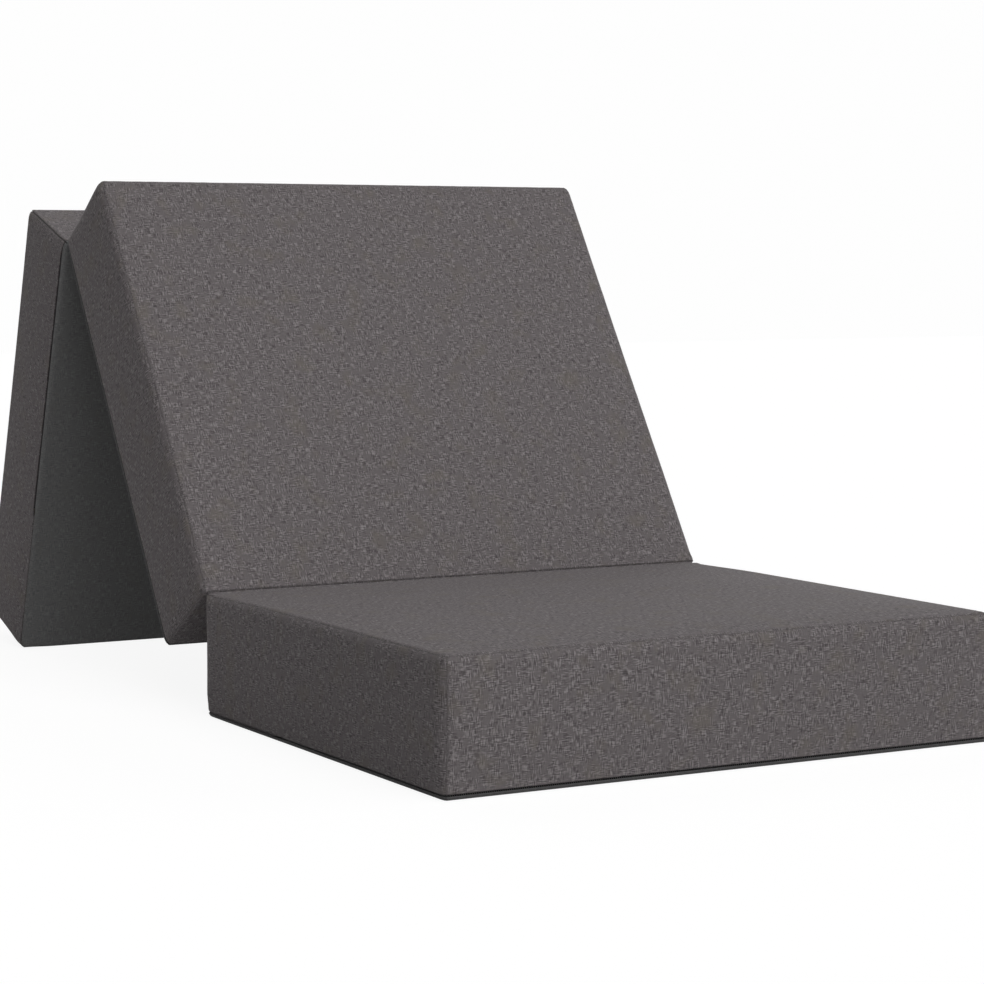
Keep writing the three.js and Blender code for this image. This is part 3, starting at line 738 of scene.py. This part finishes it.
# A part of the cover as its own cloth, with real thickness
def cutCloth(cover, name, keep, flats, block, material, replaced, rider):
    bm = bmesh.new()
    bm.from_mesh(cover.data)
    sewSeams(bm, block, flats)
    gone = [face for face in bm.faces if not all(keep(flats[vert.index]) for vert in face.verts)]
    bmesh.ops.delete(bm, geom=gone, context="FACES")
    piece = newPiece(name, bm, material, block["place"])
    wall = piece.modifiers.new("wall", "SOLIDIFY")
    wall.thickness = coverForm["clothThickness"]
    wall.offset = -1
    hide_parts(*replaced)
    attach(piece, rider)
    return piece


def overSlot(flat):
    return flat.z > coverForm["slotTop"] - near


def underSlot(flat):
    return flat.z < coverForm["slotBottom"] + near


def makeCover(name):
    block = blocks[name]
    whole, flats = swollenCover(name)
    panels = (name + "_top_panel", name + "_side_band")
    cutCloth(whole, name + "_cover_top", overSlot, flats, block, coverCloth, panels, name)
    base = (name + "_base_panel",)
    cutCloth(whole, name + "_cover_base", underSlot, flats, block, baseCloth, base, name)
    bpy.data.objects.remove(whole)
    print(name, "cover made")


for name in blocks:
    makeCover(name)

# Foam inside, with its lower edges bevelled to leave room for the zip
foamForm = {
    "depth": 0.0028,
    "bevel": (0.0084, 0.017),  # width and height
    "faceLines": (0, 0.0015, 0.003, 0.0045, 0.009, 0.018),
    "bandLines": (0, 0.003, 0.007, 0.014),
    "baseLines": (0, 0.009, 0.018),
    "lineStep": 0.03,
}


def makeFoam(name):
    block = blocks[name]
    form = foamForm
    bm = blockGrid(block, form["faceLines"], form["bandLines"], form["baseLines"], form["lineStep"])
    for vert in bm.verts:
        vert.co = formPoint(block, vert.co.copy(), form["depth"], form["bevel"])
    foam = newPiece(name + "_foam", bm, foamSurface, block["place"])
    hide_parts(name + "_foam_core")
    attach(foam, name)


for name in blocks:
    makeFoam(name)
print("foam made")

# Each fabric hinge is one strip, sewn to both blocks' ends and doubled over the hinge line
hingeForm = {
    "thickness": 0.0008,
    "standOff": 0.0003,  # from the block's end
    "endInset": 0.0065,  # from the block's side
    "rise": -0.0002,  # of the fold's middle over the hinge line
    "foldShare": 0.6,  # how far out from the line the fold turns down
    "shoulder": 0.0011,  # how far below the fold the strip lies flat again
    "columns": 96,
    "waver": 0.0002,
    "waverWidth": 0.012,
}


def makeHinge(name, low, high, line, drops, replaced):
    form = hingeForm
    away = hingeSetback - form["standOff"] - form["thickness"] / 2
    frames = [blocks[body]["place"].to_3x3() for body in (low, high)]
    outward = 1 if name == "seat_hinge" else -1  # the strip's edge points out of the faces that meet there
    half = halfWidth - form["endInset"]

    def sidePoint(turn, side, back, drop):
        return line + turn @ Vector((0, side * back, -outward * drop))

    lower, upper = frames
    peak = (lower @ Vector((0, 0, outward)) + upper @ Vector((0, 0, outward))).normalized()
    rise = peak * form["rise"]
    bend = away * form["foldShare"]
    section = [sidePoint(lower, -1, away, drop) for drop in (drops[0], drops[0] / 2, form["shoulder"])]
    section += [sidePoint(lower, -1, bend, 0) + rise * 2, line + rise]
    section += [sidePoint(upper, 1, bend, 0) + rise * 2]
    section += [sidePoint(upper, 1, away, drop) for drop in (form["shoulder"], drops[1] / 2, drops[1])]

    bm = bmesh.new()
    layer = bm.loops.layers.uv.new("cloth")
    verts = [bm.verts.new(point - Vector((half, 0, 0))) for point in section]
    edges = [bm.edges.new(pair) for pair in zip(verts, verts[1:])]
    step = 2 * half / form["columns"]
    for _ in range(form["columns"]):
        extruded = bmesh.ops.extrude_edge_only(bm, edges=edges)["geom"]
        edges = [part for part in extruded if isinstance(part, bmesh.types.BMEdge)]
        moved = [part for part in extruded if isinstance(part, bmesh.types.BMVert)]
        bmesh.ops.translate(bm, verts=moved, vec=(step, 0, 0))
    bmesh.ops.recalc_face_normals(bm, faces=bm.faces)
    for face in bm.faces:
        for loop in face.loops:
            fromLine = loop.vert.co - line
            loop[layer].uv = (loop.vert.co.x + clothPlaces["hinge"], fromLine.y + fromLine.z)
    for vert in bm.verts:
        wave = noise.noise(Vector((vert.co.x, 0, 0)) / form["waverWidth"])
        vert.co += peak * wave * form["waver"]
    piece = newPiece(name + "_cloth", bm, coverCloth)
    wall = piece.modifiers.new("wall", "SOLIDIFY")
    wall.thickness = form["thickness"]
    wall.offset = 0
    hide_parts(*replaced)
    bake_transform(piece)


makeHinge(
    "seat_hinge",
    "seat",
    "backrest",
    seatHinge,
    (0.009, 0.009),
    ("seat_hinge_strip", "backrest_lower_hinge_strip", "seat_hinge_fold"),
)
makeHinge(
    "support_hinge",
    "backrest",
    "support",
    supportHinge,
    (0.0055, 0.0055),
    ("backrest_upper_hinge_strip", "support_hinge_strip", "support_hinge_fold"),
)
print("hinges made")

# The zip's closed chain: two rows of teeth, one on each tape, that mesh in the slot's middle
zipForm = {
    "depth": 0.0033,  # of the chain's middle below the block's face
    "height": 0.0054,
    "cornerRadius": 0.0027,
    "pitch": 0.00127,  # from a tooth of one row to the next of the other
    "tooth": (0.001, 0.0016, 0.0024),  # along, deep, high
    "bevel": 0.00025,
    "rowOffset": 0.0007,
    "leftEnd": 0.386,
    "rightEnd": 0.372,
    "cornerGap": 0.003,  # where the zip starts past a corner
}


# The corners' centre on the right, and the lengths of the zip's stretches from the left side's end
# round the lower end to the right side's end
def zipRoute(block):
    form = zipForm
    radius = form["cornerRadius"]
    centre = Vector((halfWidth - form["depth"] - radius, block["low"] + form["depth"] + radius))
    quarter = radius * math.pi / 2
    return centre, (form["leftEnd"] - centre.y, quarter, 2 * centre.x, quarter, form["rightEnd"] - centre.y)


# A place on the route, a distance along it, and the angle of the way out
def zipPlace(block, along):
    radius = zipForm["cornerRadius"]
    centre, (left, quarter, end, _, _) = zipRoute(block)
    if along < left:
        return Vector((-centre.x - radius, zipForm["leftEnd"] - along)), math.pi
    along -= left
    if along < quarter:
        angle = math.pi + along / radius
        return Vector((-centre.x + radius * math.cos(angle), centre.y + radius * math.sin(angle))), angle
    along -= quarter
    if along < end:
        return Vector((along - centre.x, centre.y - radius)), 1.5 * math.pi
    along -= end
    if along < quarter:
        angle = 1.5 * math.pi + along / radius
        return Vector((centre.x + radius * math.cos(angle), centre.y + radius * math.sin(angle))), angle
    return Vector((centre.x + radius, centre.y + along - quarter)), 0


# One tooth with softened edges is set down along the whole route, up and down in turn
def makeTeeth(name):
    block = blocks[name]
    form = zipForm
    stretches = zipRoute(block)[1]
    start = 0 if block["zipOnLeft"] else sum(stretches[:2]) + form["cornerGap"]
    tooth = bmesh.new()
    bmesh.ops.create_cube(tooth, size=1, matrix=Matrix.Diagonal((*form["tooth"], 1)))
    edges = tooth.edges[:]
    bmesh.ops.bevel(
        tooth, geom=edges, offset=form["bevel"], segments=1, profile=0.5, affect="EDGES", material=-1
    )
    single = bpy.data.meshes.new("tooth")
    bm = bmesh.new()
    for number in range(int((sum(stretches) - start) / form["pitch"])):
        place, angle = zipPlace(block, start + number * form["pitch"])
        up = form["height"] + form["rowOffset"] * (1 if number % 2 else -1)
        placed = tooth.copy()
        placed.transform(Matrix.Rotation(angle + math.pi / 2, 4, "Z"))
        placed.transform(Matrix.Translation((place.x, place.y, up)))
        placed.to_mesh(single)
        placed.free()
        bm.from_mesh(single)
    tooth.free()
    bpy.data.meshes.remove(single)
    teeth = newPiece(name + "_zip_teeth", bm, zipCoil, block["place"])
    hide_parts(name + "_zip_chain")
    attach(teeth, name)


for name in blocks:
    makeTeeth(name)
print("zip teeth made")

# The rest of the zip keeps its CAD form and gets its finish
finishOf = {"tape": zipTapeCloth, "chain": zipCoil, "stop": zipMetal, "slider": zipMetal, "pull": zipMetal}
for nodeName, node in frame["nodes"].items():
    for word, material in finishOf.items():
        if word in nodeName:
            node.data.materials.clear()
            node.data.materials.append(material)

# Plain pale floor and plain soft light, most of it from above and from in front
studio = {
    "lights": {  # direction, strength and softness in degrees
        "above": ((-0.15, -0.25, 1), 0.34, 60),
        "leftFront": ((-0.25, -0.8, 0.55), 0.68, 60),
        "highFront": ((0.1, -0.65, 0.8), 1.0, 50),
        "behind": ((0.25, 1, 0.45), 0.85, 60),
        "right": ((1, -0.4, 0.2), 1.1, 50),
    },
    "skyStrength": 0.03,
    "floorBounce": "#e1e1e1",
    "floorShown": "#6c6c6c",  # darker to the eye than the light that it gives, so that shadows stay faint
    "floorGlow": 0.9,
    "background": 0.99,
    "floorSize": 12,
    "floorDrop": 0.5,  # mm under the blocks
}


# 1 where the camera, a reflection or a clear surface looks at it, and 0 for the light that it gives
def seenDirectly(tree):
    path = addNode(tree, "LightPath")
    rays = ("Is Camera Ray", "Is Glossy Ray", "Is Transmission Ray")
    seen = path.outputs[rays[0]]
    for ray in rays[1:]:
        seen = addNode(tree, "Math", {"operation": "MAXIMUM"}, {0: seen, 1: path.outputs[ray]}).outputs[0]
    return seen


def makeStudio():
    for name, (direction, strength, softness) in studio["lights"].items():
        sun = bpy.data.objects.new(name, bpy.data.lights.new(name, "SUN"))
        sun.data.energy = strength
        sun.data.angle = math.radians(softness)
        sun.rotation_mode = "QUATERNION"
        sun.rotation_quaternion = Vector(direction).to_track_quat("Z", "Y")
        scene.collection.objects.link(sun)

    world = bpy.data.worlds.new("studio")
    world.use_nodes = True
    tree = world.node_tree
    tree.nodes.clear()
    seen = seenDirectly(tree)
    soft = addNode(tree, "Background", {"Strength": studio["skyStrength"]})
    white = addNode(tree, "Background", {"Strength": studio["background"]})
    for background in (soft, white):
        background.inputs["Color"].default_value = (1, 1, 1, 1)
    mixed = addNode(tree, "MixShader", {}, {0: seen, 1: soft.outputs[0], 2: white.outputs[0]})
    addNode(tree, "OutputWorld", {}, {"Surface": mixed.outputs[0]})
    scene.world = world

    material = newMaterial("paleFloor")
    tree = material.node_tree
    seen = seenDirectly(tree)
    bounce = addNode(tree, "BsdfDiffuse", {"Color": linear(studio["floorBounce"])})
    shown = addNode(tree, "BsdfDiffuse", {"Color": linear(studio["floorShown"])})
    glow = addNode(tree, "Emission", {"Color": (1, 1, 1, 1), "Strength": studio["floorGlow"]})
    both = addNode(tree, "AddShader", {}, {0: shown.outputs[0], 1: glow.outputs[0]})
    mixed = addNode(tree, "MixShader", {}, {0: seen, 1: bounce.outputs[0], 2: both.outputs[0]})
    addNode(tree, "OutputMaterial", {}, {"Surface": mixed.outputs[0]})
    bm = bmesh.new()
    bmesh.ops.create_grid(bm, x_segments=1, y_segments=1, size=studio["floorSize"])
    floor = newPiece("floor", bm, material, Matrix.Translation((0, 0, -studio["floorDrop"] * mm)))


makeStudio()
scene.view_settings.view_transform = "Standard"
print("studio lit")
